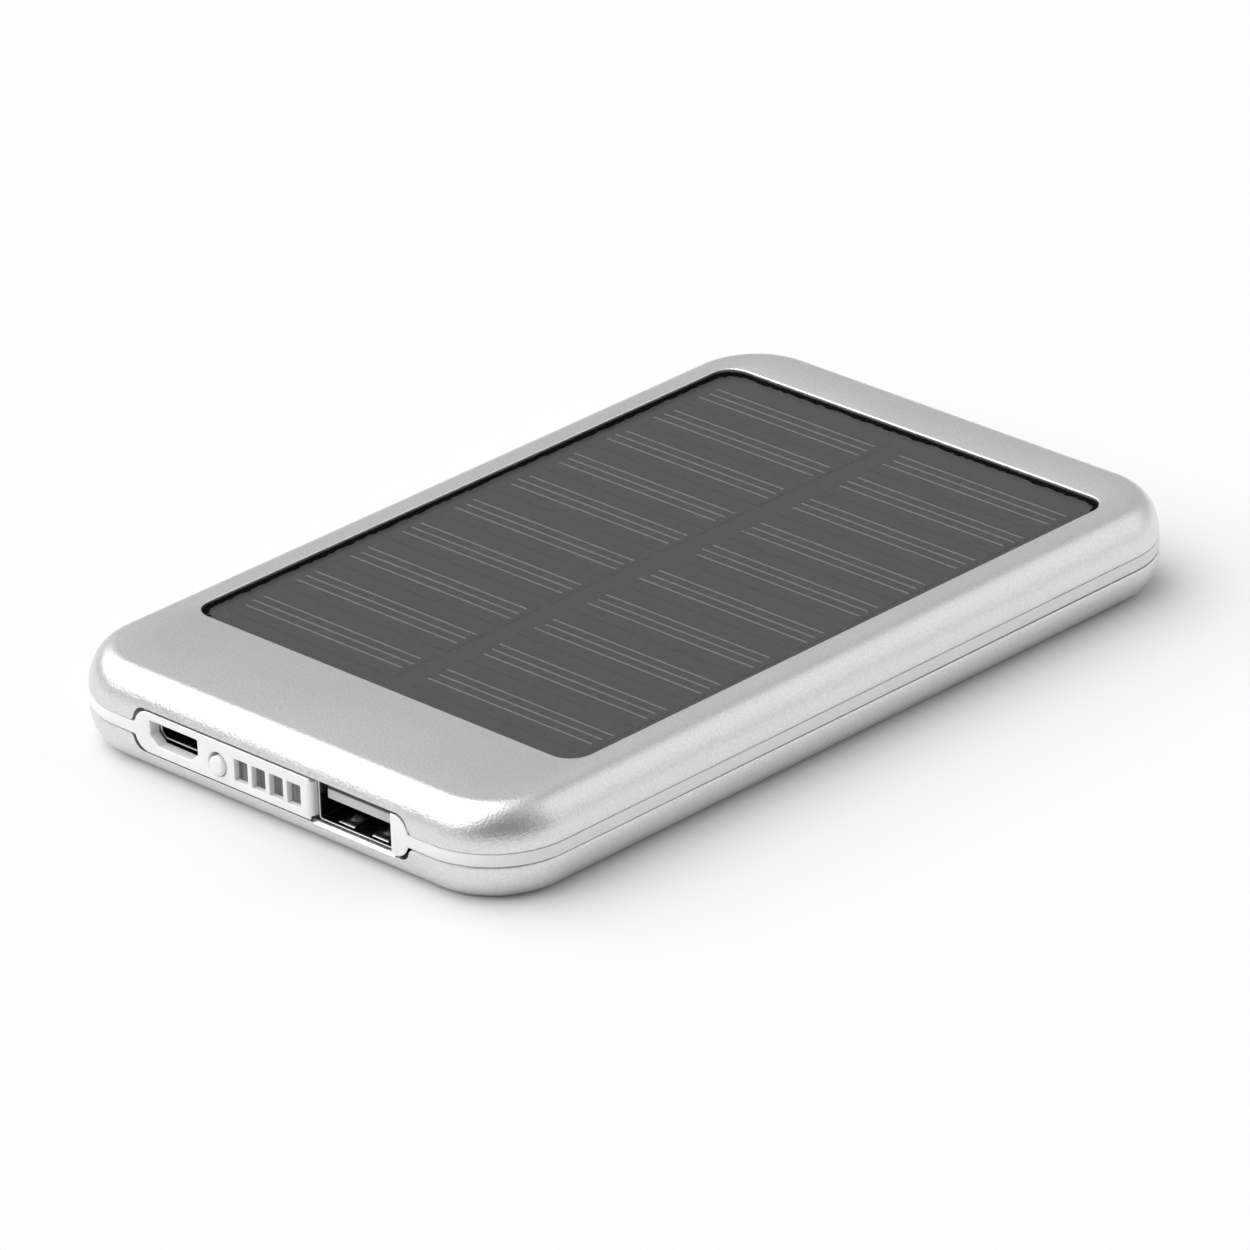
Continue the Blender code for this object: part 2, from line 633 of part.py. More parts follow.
def power_button():
    """A cap held behind the port plate by its flange, and the switch that it presses."""
    centre = (BUTTON_X, BUTTON_Z)
    face = FRONT - BUTTON_PROUD
    flange = FRONT + PLATE_DEPTH + 0.1
    stem_end = FRONT + 4.4
    profile = [(face, 0.6), (face + 0.05, 0.88), (face + 0.16, BUTTON_R - 0.1), (face + 0.34, BUTTON_R),
               (flange, BUTTON_R), (flange, FLANGE_R), (flange + 0.6, FLANGE_R),
               (flange + 0.6, STEM_R), (stem_end, STEM_R)]
    turned("button_cap", profile, centre, "y", "frame_plastic", 28)
    switch_front = FRONT + 4.9
    on = BOARD_Z[1] + MOUNT_GAP
    body = block("switch_body", (BUTTON_X - 1.8, switch_front, on),
                 (BUTTON_X + 1.8, switch_front + 2.4, on + 2.6), "black_plastic", 0.15)
    cut(body, prism("bore_tool", circle(0.6, centre, 16), "y", switch_front - 1, switch_front + 1.2, "steel"))
    turned("switch_plunger", [(stem_end + 0.02, 0.43), (stem_end + 0.12, 0.5), (switch_front + 0.7, 0.5)],
           centre, "y", "black_plastic", 16)


def charge_lights():
    """Four lights on the board and one clear comb that carries them to the port plate."""
    on = BOARD_Z[1] + MOUNT_GAP
    for number, x in enumerate(led_middles(), 1):
        block(f"charge_led_{number}", (x - 0.9, FRONT + 4.3, on), (x + 0.9, FRONT + 5.3, on + 1.7),
              "led_body", 0.12)
    half = LED_SLOT[0] / 2 - 0.06
    bar = (FRONT + PLATE_DEPTH + 0.1, FRONT + 3.75)
    middles = led_middles()
    comb = [(middles[-1] + half, bar[1]), (middles[0] - half, bar[1])]
    for x in middles:
        comb += [(x - half, bar[0]), (x - half, FRONT + LED_SETBACK), (x + half, FRONT + LED_SETBACK),
                 (x + half, bar[0])]
    comb = [comb[0], comb[1], *comb[3:-1]]
    half_z = LED_SLOT[1] / 2 - 0.06
    prism("light_guide", comb, "z", LED_Z - half_z, LED_Z + half_z, "lens_plastic")


def leads():
    """Battery leads to the board, and panel leads down from the solar board."""
    on = BOARD_Z[1] + 0.55
    under = panel_levels()["board"][0] - 0.05
    for x, pole in ((-9.0, "black_wire"), (-5.5, "red_wire")):
        name = "battery_lead_" + pole.split("_")[0]
        points = [(x, -37.6, 5.95), (x, -39.6, 6.5), (x - 0.5, -41.2, 5.7), (x - 0.8, -42.4, on),
                  (x - 0.8, -43.6, on)]
        tube(name, smooth_path(points, 16), 0.45, pole)
    for x, pole in ((-27.0, "black_wire"), (-24.0, "red_wire")):
        name = "solar_lead_" + pole.split("_")[0]
        points = [(x, -39.0, under - 0.45), (x, -40.6, under - 0.9), (x, -41.6, 7.0), (x, -41.9, 5.5),
                  (x, -42.6, on), (x, -43.8, on)]
        tube(name, smooth_path(points, 18), 0.4, pole)


def build():
    clear_scene()
    bottom_cover()
    mid_frame()
    top_cover()
    solar_panel()
    battery()
    main_board()
    usb_a()
    micro_usb()
    power_button()
    charge_lights()
    leads()


build()
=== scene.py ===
"""Looks of the solar phone charger: fine shells, port details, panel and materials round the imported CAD."""

import json
from math import cos, pi, radians, sin
from random import Random

import bmesh
import bpy
from mathutils import Matrix, Vector


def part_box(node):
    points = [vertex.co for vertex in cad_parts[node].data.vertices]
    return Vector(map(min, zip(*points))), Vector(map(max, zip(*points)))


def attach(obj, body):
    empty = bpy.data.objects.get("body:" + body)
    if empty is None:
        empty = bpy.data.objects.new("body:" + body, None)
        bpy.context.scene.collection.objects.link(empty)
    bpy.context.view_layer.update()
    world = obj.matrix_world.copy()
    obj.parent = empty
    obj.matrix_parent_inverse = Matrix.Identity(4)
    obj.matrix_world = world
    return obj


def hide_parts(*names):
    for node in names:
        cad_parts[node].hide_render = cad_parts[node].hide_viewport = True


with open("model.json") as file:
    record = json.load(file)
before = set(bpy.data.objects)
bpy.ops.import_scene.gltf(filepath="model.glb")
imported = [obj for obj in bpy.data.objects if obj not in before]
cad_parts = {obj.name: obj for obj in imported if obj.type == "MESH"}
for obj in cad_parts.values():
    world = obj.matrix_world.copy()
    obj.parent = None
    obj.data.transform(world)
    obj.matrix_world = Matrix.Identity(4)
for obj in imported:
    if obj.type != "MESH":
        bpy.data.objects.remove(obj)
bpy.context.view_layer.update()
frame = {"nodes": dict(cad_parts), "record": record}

MM = 0.001

# The case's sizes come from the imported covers. The rest repeats the design's own sizes, in millimetres.
# A pair named _Z is a lowest and highest height, and one named _X a left and right side.
CASE_LOW, CASE_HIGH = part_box("bottom_cover")[0] / MM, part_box("top_cover")[1] / MM
BODY_W = CASE_HIGH.x - CASE_LOW.x
BODY_L = CASE_HIGH.y - CASE_LOW.y
BODY_T = CASE_HIGH.z - CASE_LOW.z
FRONT = CASE_LOW.y
PLAN_R = 10.6
CORNER_STEPS = 26
TOP_ROUND = (3.5, 5.0)           # across and up, over the top cover's outer edge
BOTTOM_ROUND = (3.2, 4.3)
WALL = 1.4
SKIN = 1.3
TOP_INSIDE = (3.2, 6.55)         # inset where the curved inner wall ends, and height where it starts
BOTTOM_INSIDE = (4.2, 4.6)       # inset where it starts, and height where it ends
BAND_Z = (4.85, 6.42)
PARTING_GAP = 0.05
GAP_OPENS = 0.2                  # how much wider the lower gap is at the rear right
GAP_FROM = 8.0
EDGE_BREAK = 0.14
EDGE_SOFT = EDGE_BREAK * 0.3
LIP_INSET = (1.8, 2.8)
LIP_Z = (3.4, 7.9)

WINDOW_W = 62.1
WINDOW_L = 91.2
WINDOW_Y = 4.07
WINDOW_R = 3.0
WINDOW_CHAMFER = 0.18
WINDOW_LIP = 0.5
PANEL_OVERLAP = (2.9, 3.0)       # how much wider and longer than the window the panel is
PANEL_SLACK = 0.25
PANEL_R = 2.5

PORT_MIDDLE = -0.08
PLATE_HALF = 22.3
PLATE_Z = (3.15, 8.31)
PLATE_R = 2.3
PLATE_DEPTH = LIP_INSET[1]
PLATE_EDGE = 0.12
SHADOW_GAP = 0.45
NOTCH_HALF = 22.4
NOTCH_Z = (2.95, 8.5)
NOTCH_R = 1.5
NOTCH_R_BY_USB = 2.1
NOTCH_FLARE = 0.8
NOTCH_DEPTH = 3.2

USB_CUT_X = (6.7, 19.4)
USB_FILLET = 0.75
USB_EDGE = 0.25
USB_SHOULDER = 0.9               # depth of the step in the right side of the USB cut
USB_RELIEF = (0.2, 0.85)         # room beside the USB-A shell, and the depth where it starts
USB_RELIEF_TOP = 8.9
TONGUE_Z = (5.83, 7.67)
TONGUE_SHADE_Z = 7.02
SPRING_X = 2.7                   # each finger's middle, out from the shell's
SPRING_SLOT = (1.55, 2.5)        # half its slot's width and length
SILL_X = (6.4, 19.8)
SILL_Z = (2.85, 3.09)
SILL_SLOPE = 0.69
SILL_CREST = (0.65, 0.88)        # depths where the crest starts and ends
MICRO_X = -15.83
MICRO_SETBACK = 1.5
MICRO_MOUTH = (3.92, 4.4, 7.32)  # half width, bottom and top at the plate's face
MICRO_TAPER = (0.04, 0.03, 0.02)  # how far each comes in by the plate's back
MICRO_CUT = (1.3, 1.05)          # width and height cut off each lower corner
MICRO_POCKET = (4.2, 3.6, 7.6)   # half width, floor and roof behind the mouth
BUTTON_X = -8.6
BUTTON_Z = 5.35
BUTTON_R = 1.22
BUTTON_HOLE_R = 1.5
BUTTON_PROUD = 0.5
BUTTON_OFF_MIDDLE = 0.12
FLANGE_R = 1.9
FLANGE_T = 0.6
STEM_R = 0.8
STEM_END = 4.4                   # depth of the stem's end
BEHIND_PLATE = 0.1
LED_SLOT = (2.17, 2.78)
LED_Z = 5.58
LED_SETBACK = 0.7

FINGER_PITCH = 1.53
FINGER_WIDTH = 0.34
FINGER_TRIM = 0.55
SEAL_WIDTH = 0.42
SEAL_OFF_WALL = 0.13


# ---------------------------------------------------------------- mesh tools

def object_from(name, bm, finish, sharp=32):
    bmesh.ops.recalc_face_normals(bm, faces=bm.faces)
    mesh = bpy.data.meshes.new(name)
    bm.to_mesh(mesh)
    bm.free()
    if finish:
        mesh.materials.append(material(finish))
    mesh.shade_smooth()
    mesh.set_sharp_from_angle(angle=radians(sharp))
    made = bpy.data.objects.new(name, mesh)
    bpy.context.scene.collection.objects.link(made)
    return made


def combine(target, tool, operation):
    step = target.modifiers.new("combine", "BOOLEAN")
    step.operation = operation
    step.object = tool
    step.solver = "EXACT"
    graph = bpy.context.evaluated_depsgraph_get()
    result = bpy.data.meshes.new_from_object(target.evaluated_get(graph))
    target.modifiers.remove(step)
    old = target.data
    target.data = result
    bpy.data.meshes.remove(old)
    bpy.data.objects.remove(tool, do_unlink=True)
    result.name = target.name


def cut(target, tool):
    combine(target, tool, "DIFFERENCE")


def join(target, tool):
    combine(target, tool, "UNION")


def sharpen(target, angle):
    target.data.shade_smooth()
    target.data.set_sharp_from_angle(angle=radians(angle))


def rounded(half_u, half_v, radius, centre=(0.0, 0.0), steps=6):
    """A rounded rectangle in a plane, anticlockwise."""
    points = []
    for sign_u, sign_v, start in ((1, 1, 0), (-1, 1, 90), (-1, -1, 180), (1, -1, 270)):
        middle_u = centre[0] + sign_u * (half_u - radius)
        middle_v = centre[1] + sign_v * (half_v - radius)
        for k in range(steps + 1):
            turn = radians(start + 90 * k / steps)
            points.append((middle_u + radius * cos(turn), middle_v + radius * sin(turn)))
    return points


def circle(radius, centre=(0.0, 0.0), sides=48):
    return [(centre[0] + radius * cos(2 * pi * k / sides),
             centre[1] + radius * sin(2 * pi * k / sides)) for k in range(sides)]


def place(outline, axis, level):
    """Stand a flat outline across an axis: (x, y) on z, (x, z) on y, (y, z) on x."""
    if axis == "z":
        return [Vector((u, v, level)) for u, v in outline]
    if axis == "y":
        return [Vector((u, level, v)) for u, v in outline]
    return [Vector((level, u, v)) for u, v in outline]


def skin(bm, rings, closed=False, capped=True):
    """Faces between matching rings, in order, in an open bmesh. Returns the rows of vertices."""
    rows = [[bm.verts.new(point * MM) for point in ring] for ring in rings]
    pairs = list(zip(rows, rows[1:]))
    if closed:
        pairs.append((rows[-1], rows[0]))
    elif capped:
        bm.faces.new(rows[0])
        bm.faces.new(rows[-1])
    for near, far in pairs:
        for k, corner in enumerate(near):
            after = (k + 1) % len(near)
            bm.faces.new((corner, near[after], far[after], far[k]))
    return rows


def loft(name, rings, finish, closed=False, sharp=32):
    bm = bmesh.new()
    skin(bm, rings, closed)
    return object_from(name, bm, finish, sharp)


def prism(name, outline, axis, low, high, finish=None):
    return loft(name, [place(outline, axis, low), place(outline, axis, high)], finish)


def block(name, low, high, finish=None, bevel=0.0):
    bm = bmesh.new()
    bmesh.ops.create_cube(bm, size=1.0)
    for vertex in bm.verts:
        vertex.co = Vector([(low[k] + (vertex.co[k] + 0.5) * (high[k] - low[k])) * MM for k in range(3)])
    if bevel:
        bmesh.ops.bevel(bm, geom=bm.edges[:], offset=bevel * MM, segments=2, profile=0.5, affect="EDGES")
    return object_from(name, bm, finish)


def case_ring(inset, z):
    outline = rounded(BODY_W / 2 - inset, BODY_L / 2 - inset, PLAN_R - inset, steps=CORNER_STEPS)
    return place(outline, "z", z)


def window_ring(half_x, half_y, radius, z):
    return place(rounded(half_x, half_y, radius, (0.0, WINDOW_Y), CORNER_STEPS), "z", z)


def quarter_turns(steps):
    return [pi / 2 * k / steps for k in range(steps + 1)]


def quarter(inset_span, z_span, steps):
    """Insets and heights along a quarter ellipse, from its upright end to its flat end."""
    start, end = inset_span
    base, tip = z_span
    return [(start + (end - start) * (1 - cos(turn)), base + (tip - base) * sin(turn))
            for turn in quarter_turns(steps)]


def broken_edge(z, way):
    """Insets and heights round a wall's edge at a parting line, where way is 1 if the wall is above it."""
    return [(EDGE_BREAK, z), (EDGE_SOFT, z + way * EDGE_SOFT), (0.0, z + way * EDGE_BREAK)]


def settle(piece, body, slot, *nodes):
    """Put a finished piece on its body, and let it stand for its CAD nodes by hiding them. The slot is not
    used.
    """
    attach(piece, body)
    if nodes:
        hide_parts(*nodes)


# ---------------------------------------------------------------- materials

class Nodes:
    """A Principled material and the few node wires that the finishes share."""

    def __init__(self, name, colour, roughness, metallic=0.0):
        self.material = bpy.data.materials.new(name)
        self.material.use_nodes = True
        self.tree = self.material.node_tree
        self.shader = self.tree.nodes["Principled BSDF"]
        self.set("Base Color", (*colour, 1.0))
        self.set("Roughness", roughness)
        self.set("Metallic", metallic)
        self.coords = self.tree.nodes.new("ShaderNodeTexCoord").outputs["Object"]

    def set(self, socket, value):
        self.shader.inputs[socket].default_value = value

    def wire(self, out, into):
        self.tree.links.new(out, into)

    def noise(self, scale, detail=2.0, stretch=None, roughness=0.5):
        node = self.tree.nodes.new("ShaderNodeTexNoise")
        node.inputs["Scale"].default_value = scale
        node.inputs["Detail"].default_value = detail
        node.inputs["Roughness"].default_value = roughness
        self.wire(self.stretched(stretch) if stretch else self.coords, node.inputs["Vector"])
        return node.outputs["Fac"]

    def stretched(self, factors):
        node = self.tree.nodes.new("ShaderNodeMapping")
        node.inputs["Scale"].default_value = factors
        self.wire(self.coords, node.inputs["Vector"])
        return node.outputs["Vector"]

    def along(self, axis):
        node = self.tree.nodes.new("ShaderNodeSeparateXYZ")
        self.wire(self.coords, node.inputs[0])
        return node.outputs[axis]

    def ramp(self, fac, low, high, from_low=0.35, from_high=0.65):
        node = self.tree.nodes.new("ShaderNodeMapRange")
        node.inputs["From Min"].default_value = from_low
        node.inputs["From Max"].default_value = from_high
        node.inputs["To Min"].default_value = low
        node.inputs["To Max"].default_value = high
        self.wire(fac, node.inputs["Value"])
        return node.outputs["Result"]

    def tint(self, fac, first, second):
        node = self.tree.nodes.new("ShaderNodeMix")
        node.data_type = "RGBA"
        node.inputs["A"].default_value = (*first, 1.0)
        node.inputs["B"].default_value = (*second, 1.0)
        self.wire(fac, node.inputs["Factor"])
        self.wire(node.outputs["Result"], self.shader.inputs["Base Color"])

    def bump(self, fac, distance, strength=1.0):
        node = self.tree.nodes.new("ShaderNodeBump")
        node.inputs["Distance"].default_value = distance
        node.inputs["Strength"].default_value = strength
        self.wire(fac, node.inputs["Height"])
        if self.shader.inputs["Normal"].is_linked:
            self.wire(self.shader.inputs["Normal"].links[0].from_socket, node.inputs["Normal"])
        self.wire(node.outputs["Normal"], self.shader.inputs["Normal"])


def silver_shell():
    """Satin silver with a fine blasted grain and slow, faint unevenness."""
    n = Nodes("silver_shell", (0.82, 0.82, 0.822), 0.33, 1.0)
    grain = n.noise(3000.0, 2.0, roughness=0.6)
    n.tint(n.ramp(grain, 0.0, 1.0), (0.70, 0.70, 0.702), (0.785, 0.785, 0.787))
    n.wire(n.ramp(n.noise(60.0, 3.0), 0.29, 0.33), n.shader.inputs["Roughness"])
    n.bump(grain, 0.000052, 0.8)
    return n


def frame_plastic():
    n = Nodes("frame_plastic", (0.83, 0.83, 0.83), 0.36)
    n.tint(n.ramp(n.noise(120.0, 3.0), 0.0, 1.0), (0.81, 0.81, 0.81), (0.84, 0.84, 0.838))
    n.wire(n.ramp(n.noise(900.0, 2.0), 0.32, 0.42), n.shader.inputs["Roughness"])
    n.bump(n.noise(5000.0, 1.0), 0.000003, 0.4)
    n.set("Subsurface Weight", 0.08)
    n.set("Subsurface Radius", (0.0012, 0.0012, 0.0012))
    return n


def solar_film():
    """Clear film over the cells, its laminate finely mottled."""
    n = Nodes("solar_film", (0.075, 0.075, 0.078), 0.30)
    n.set("Alpha", 0.45)
    n.tint(n.ramp(n.noise(3600.0, 3.0), 0.0, 1.0), (0.045, 0.045, 0.047), (0.105, 0.105, 0.108))
    grain = n.noise(2600.0, 2.0)
    n.wire(n.ramp(grain, 0.26, 0.38), n.shader.inputs["Roughness"])
    n.bump(grain, 0.000012, 0.5)
    return n


def solar_cell():
    n = Nodes("solar_cell", (0.06, 0.06, 0.065), 0.4)
    n.tint(n.ramp(n.noise(1800.0, 4.0), 0.0, 1.0), (0.052, 0.052, 0.055), (0.085, 0.085, 0.09))
    n.bump(n.noise(3000.0, 2.0), 0.00001, 0.4)
    return n


def cell_finger():
    n = Nodes("cell_finger", (0.8, 0.8, 0.8), 0.6)
    n.tint(n.ramp(n.noise(7000.0, 2.0), 0.0, 1.0), (0.86, 0.86, 0.86), (0.98, 0.98, 0.98))
    return n


def black_board():
    n = Nodes("black_board", (0.055, 0.055, 0.058), 0.45)
    n.tint(n.ramp(n.noise(1500.0, 3.0), 0.0, 1.0), (0.068, 0.068, 0.071), (0.10, 0.10, 0.104))
    n.bump(n.noise(4000.0, 2.0), 0.000006, 0.4)
    return n


def adhesive():
    n = Nodes("adhesive", (0.09, 0.09, 0.09), 0.8)
    n.tint(n.ramp(n.noise(3000.0, 4.0), 0.0, 1.0), (0.07, 0.07, 0.07), (0.13, 0.13, 0.13))
    n.bump(n.noise(2500.0, 3.0), 0.00002, 0.6)
    return n


def seal_rubber():
    n = Nodes("seal_rubber", (0.003, 0.003, 0.003), 0.9)
    n.tint(n.ramp(n.noise(4000.0, 3.0), 0.0, 1.0), (0.001, 0.001, 0.001), (0.005, 0.005, 0.005))
    n.bump(n.noise(5000.0, 2.0), 0.00001, 0.5)
    n.set("Specular IOR Level", 0.03)
    return n


def pouch_foil():
    n = Nodes("pouch_foil", (0.68, 0.69, 0.71), 0.38, 0.9)
    n.wire(n.ramp(n.noise(200.0, 4.0), 0.32, 0.5), n.shader.inputs["Roughness"])
    n.bump(n.noise(110.0, 4.0), 0.0002, 0.35)
    return n


def green_board():
    n = Nodes("green_board", (0.03, 0.20, 0.09), 0.4)
    tracks = n.noise(420.0, 0.0, (1.0, 6.0, 1.0))
    n.tint(n.ramp(tracks, 0.0, 1.0, 0.49, 0.51), (0.022, 0.16, 0.07), (0.05, 0.27, 0.12))
    n.bump(tracks, 0.00002, 0.3)
    return n


def plated_steel():
    n = Nodes("plated_steel", (0.62, 0.62, 0.63), 0.26, 1.0)
    brushed = n.noise(1500.0, 3.0, (1.0, 14.0, 14.0))
    n.wire(n.ramp(brushed, 0.2, 0.34), n.shader.inputs["Roughness"])
    n.bump(brushed, 0.000003, 0.5)
    return n


def shade_painted_steel(name, start, fade, shade_tone=0.12):
    """Nickel plate, bright at its front edge and darker from a depth behind the plate's face: painted shade
    inside the socket.
    """
    n = Nodes(name, (0.62, 0.62, 0.63), 0.24, 1.0)
    near = (FRONT + start) * MM
    # Painted shade: the colour goes from the front edge's bright tone to a dark one with depth into the
    # socket.
    inward = n.ramp(n.along("Y"), 0.0, 1.0, near, near + fade * MM)
    n.tint(inward, (0.72, 0.72, 0.73), (shade_tone, shade_tone, shade_tone * 1.03))
    brushed = n.noise(1500.0, 3.0, (1.0, 14.0, 14.0))
    n.wire(n.ramp(brushed, 0.16, 0.28), n.shader.inputs["Roughness"])
    n.bump(brushed, 0.000003, 0.5)
    return n


# The socket shells and their sprung fingers below are darkened with depth by painted shade.
def usb_steel():
    return shade_painted_steel("usb_steel", 1.055, 0.06)


def micro_steel():
    return shade_painted_steel("micro_steel", 1.56, 0.08)


def spring_steel():
    return shade_painted_steel("spring_steel", 1.8, 0.08, 0.3)


def connector_plastic():
    """Pale grey moulding whose top, above TONGUE_SHADE_Z, is painted dark grey: a painted shadow of the
    shell's roof.
    """
    n = Nodes("connector_plastic", (0.55, 0.55, 0.55), 0.5)
    # Painted shadow: the tongue's top strip under the socket's roof is coloured dark.
    roof_shadow = n.ramp(n.along("Z"), 0.0, 1.0, TONGUE_SHADE_Z * MM, (TONGUE_SHADE_Z + 0.06) * MM)
    n.tint(roof_shadow, (0.56, 0.56, 0.56), (0.07, 0.07, 0.07))
    n.bump(n.noise(3500.0, 2.0), 0.000008, 0.5)
    return n


def gold_contact():
    n = Nodes("gold_contact", (0.83, 0.66, 0.33), 0.28, 1.0)
    n.wire(n.ramp(n.noise(2500.0, 2.0, (6.0, 1.0, 1.0)), 0.2, 0.36), n.shader.inputs["Roughness"])
    return n


def lens_plastic():
    """Smoky light guide, its face faintly streaked from top to bottom."""
    n = Nodes("lens_plastic", (0.12, 0.12, 0.125), 0.4)
    streaks = n.noise(1500.0, 2.0, (1.0, 1.0, 0.12))
    n.tint(n.ramp(streaks, 0.0, 1.0), (0.075, 0.075, 0.078), (0.17, 0.17, 0.174))
    n.bump(streaks, 0.00002, 0.4)
    return n


def led_body():
    n = Nodes("led_body", (0.88, 0.88, 0.80), 0.4)
    n.tint(n.ramp(n.noise(1200.0, 2.0), 0.0, 1.0), (0.85, 0.85, 0.77), (0.9, 0.9, 0.82))
    n.bump(n.noise(4000.0, 1.0), 0.000005, 0.4)
    return n


def black_plastic():
    n = Nodes("black_plastic", (0.025, 0.025, 0.025), 0.5)
    n.tint(n.ramp(n.noise(1500.0, 3.0), 0.0, 1.0), (0.018, 0.018, 0.018), (0.035, 0.035, 0.035))
    n.bump(n.noise(5000.0, 2.0), 0.000008, 0.5)
    return n


def ferrite():
    n = Nodes("ferrite", (0.16, 0.16, 0.17), 0.65)
    n.tint(n.ramp(n.noise(2200.0, 5.0), 0.0, 1.0), (0.11, 0.11, 0.115), (0.21, 0.21, 0.22))
    n.bump(n.noise(3500.0, 4.0), 0.00003, 0.6)
    return n


def tantalum():
    n = Nodes("tantalum", (0.72, 0.46, 0.12), 0.48)
    n.tint(n.ramp(n.noise(1100.0, 3.0), 0.0, 1.0), (0.66, 0.41, 0.10), (0.76, 0.50, 0.15))
    n.bump(n.noise(4200.0, 2.0), 0.000008, 0.5)
    return n


def wire_cover(name, dark, light):
    n = Nodes(name, dark, 0.42)
    n.tint(n.ramp(n.noise(800.0, 2.0), 0.0, 1.0), dark, light)
    n.bump(n.noise(2600.0, 2.0), 0.00001, 0.5)
    return n


def red_wire():
    return wire_cover("red_wire", (0.52, 0.03, 0.03), (0.64, 0.05, 0.05))


def black_wire():
    return wire_cover("black_wire", (0.015, 0.015, 0.015), (0.03, 0.03, 0.03))


FINISHES = {make.__name__: make for make in (
    silver_shell, frame_plastic, solar_film, solar_cell, cell_finger, black_board, adhesive, seal_rubber,
    pouch_foil, green_board, plated_steel, usb_steel, micro_steel, spring_steel, connector_plastic,
    gold_contact, lens_plastic, led_body, black_plastic, ferrite, tantalum, red_wire, black_wire)}


def material(name):
    made = bpy.data.materials.get("charger_" + name)
    if made is None:
        made = FINISHES[name]().material
        made.name = "charger_" + name
    return made


# ---------------------------------------------------------------- case

def notch_outline(parting, end, away):
    """The port notch: square to the parting line, its mouth corners flared. The lower one keeps the sill."""
    side = 1 if end > parting else -1
    turns = quarter_turns(8)

    def half(radius):
        flare = [(NOTCH_HALF + NOTCH_FLARE * (1 - sin(turn)), parting + side * NOTCH_FLARE * (1 - cos(turn)))
                 for turn in turns]
        corner = [(NOTCH_HALF - radius * (1 - cos(turn)), end - side * radius * (1 - sin(turn)))
                  for turn in turns]
        return [(NOTCH_HALF + NOTCH_FLARE, away)] + flare + corner

    outline = [(PORT_MIDDLE + x, z) for x, z in half(NOTCH_R_BY_USB if side > 0 else NOTCH_R)]
    if side < 0:
        left, right = SILL_X
        above = SILL_Z[1] + 0.2
        outline += [(right, end), (right, above), (left, above), (left, end)]
    return outline + [(PORT_MIDDLE - x, z) for x, z in reversed(half(NOTCH_R))]


def port_notch(parting, end, away):
    return prism("notch_tool", notch_outline(parting, end, away), "y", FRONT - 2, FRONT + NOTCH_DEPTH)


def sill_tool():
    """What the shell loses over the sill below the USB-A mouth: a slope up to a narrow crest."""
    near, far = SILL_CREST
    floor, top = SILL_Z
    start, soft = -1.0, 0.05
    line = [(start, top - SILL_SLOPE * (near - start)), (near - soft, top - SILL_SLOPE * soft),
            (near, top - 0.01), (near + 0.04, top), (far, top), (far + 0.08, floor),
            (NOTCH_DEPTH, floor), (NOTCH_DEPTH, BAND_Z[0]), (start, BAND_Z[0])]
    return prism("sill_tool", [(FRONT + depth, z) for depth, z in line], "x", *SILL_X)


def top_shell():
    rim = BAND_Z[1] + PARTING_GAP
    ceiling = BODY_T - SKIN
    lip = BODY_T - WINDOW_LIP
    outer = broken_edge(rim, 1) + quarter((0.0, TOP_ROUND[0]), (BODY_T - TOP_ROUND[1], BODY_T), 22)
    inner = [(WALL, rim)] + quarter((WALL, TOP_INSIDE[0]), (TOP_INSIDE[1], ceiling), 6)
    rings = [case_ring(inset, z) for inset, z in outer]
    for turn in quarter_turns(4):
        grow = WINDOW_CHAMFER * (1 - sin(turn))
        drop = WINDOW_CHAMFER * (1 - cos(turn))
        rings.append(window_ring(WINDOW_W / 2 + grow, WINDOW_L / 2 + grow, WINDOW_R + grow, BODY_T - drop))
    rings.append(window_ring(WINDOW_W / 2, WINDOW_L / 2, WINDOW_R, lip))
    pocket_x = (WINDOW_W + PANEL_OVERLAP[0]) / 2 + PANEL_SLACK
    pocket_y = (WINDOW_L + PANEL_OVERLAP[1]) / 2 + PANEL_SLACK
    for z in (lip, ceiling):
        rings.append(window_ring(pocket_x, pocket_y, PANEL_R + PANEL_SLACK, z))
    rings += [case_ring(inset, z) for inset, z in reversed(inner)]
    shell = loft("top_shell", rings, "silver_shell", closed=True)
    cut(shell, port_notch(rim, NOTCH_Z[1], rim - 3))
    low, high = (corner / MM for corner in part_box("usb_a_shell"))
    side, start = USB_RELIEF
    cut(shell, block("relief_tool", (low.x - side, FRONT + start, rim + 1),
                     (high.x + side, FRONT + NOTCH_DEPTH, USB_RELIEF_TOP)))
    sharpen(shell, 32)
    settle(shell, "case", "silver_shell", "top_cover")


def bottom_shell():
    rim = BAND_Z[0] - PARTING_GAP
    edge = broken_edge(rim, -1)
    outer = edge + quarter((0.0, BOTTOM_ROUND[0]), (BOTTOM_ROUND[1], 0.0), 20)
    inner = [(WALL, rim)] + quarter((WALL, BOTTOM_INSIDE[0]), (BOTTOM_INSIDE[1], SKIN), 6)
    rings = [case_ring(inset, z) for inset, z in reversed(inner)]
    rings += [case_ring(inset, z) for inset, z in outer]
    at_gap = rings[len(inner) - 1:len(inner) + len(edge)]
    for point in sum(at_gap, []):
        if point.x > 0 and point.y > GAP_FROM:
            point.z -= GAP_OPENS * ((point.y - GAP_FROM) / (BODY_L / 2 - GAP_FROM)) ** 2
    shell = loft("bottom_shell", rings, "silver_shell")
    cut(shell, port_notch(rim, NOTCH_Z[0], rim + 3))
    cut(shell, sill_tool())
    sharpen(shell, 32)
    settle(shell, "case", "silver_shell", "bottom_cover")


# ---------------------------------------------------------------- port plate

